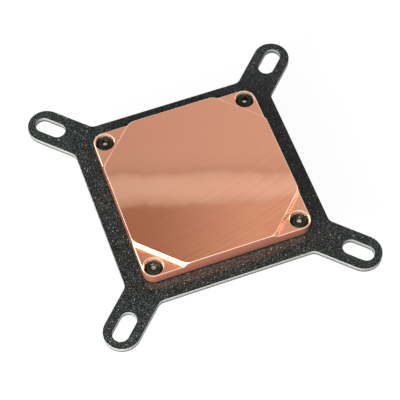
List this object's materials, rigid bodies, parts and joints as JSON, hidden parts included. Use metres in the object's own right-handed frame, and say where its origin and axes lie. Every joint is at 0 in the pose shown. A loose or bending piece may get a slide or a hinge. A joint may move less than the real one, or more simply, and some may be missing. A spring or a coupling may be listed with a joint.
{
  "type": "liquid cooling cold plate",
  "caption": "Processor cold plate: finned copper base with a flat octagonal contact land, screwed through a slotted steel mounting plate into a plastic coolant housing.",
  "frame": {"origin": "centre of the housing's back face, which the ports open through and the part rests on", "axes": "+Z points out of the copper contact face, +X and +Y run along the sides of the square base; the two ports lie on the Y axis line"},
  "size_m": [0.09, 0.09, 0.02],
  "materials": {
    "copper": "milled copper",
    "black_coating": "fine-textured black powder coat on steel",
    "screw_steel": "dark satin",
    "seal_rubber": "matte",
    "jet_steel": "satin",
    "black_acetal": "milled, matte"
  },
  "bodies": {
    "root": {"cold_plate": "copper", "mounting_plate": "black_coating", "corner_screws": "screw_steel", "seal_ring": "seal_rubber", "jet_plate": "jet_steel", "housing": "black_acetal"}
  },
  "joints": []
}
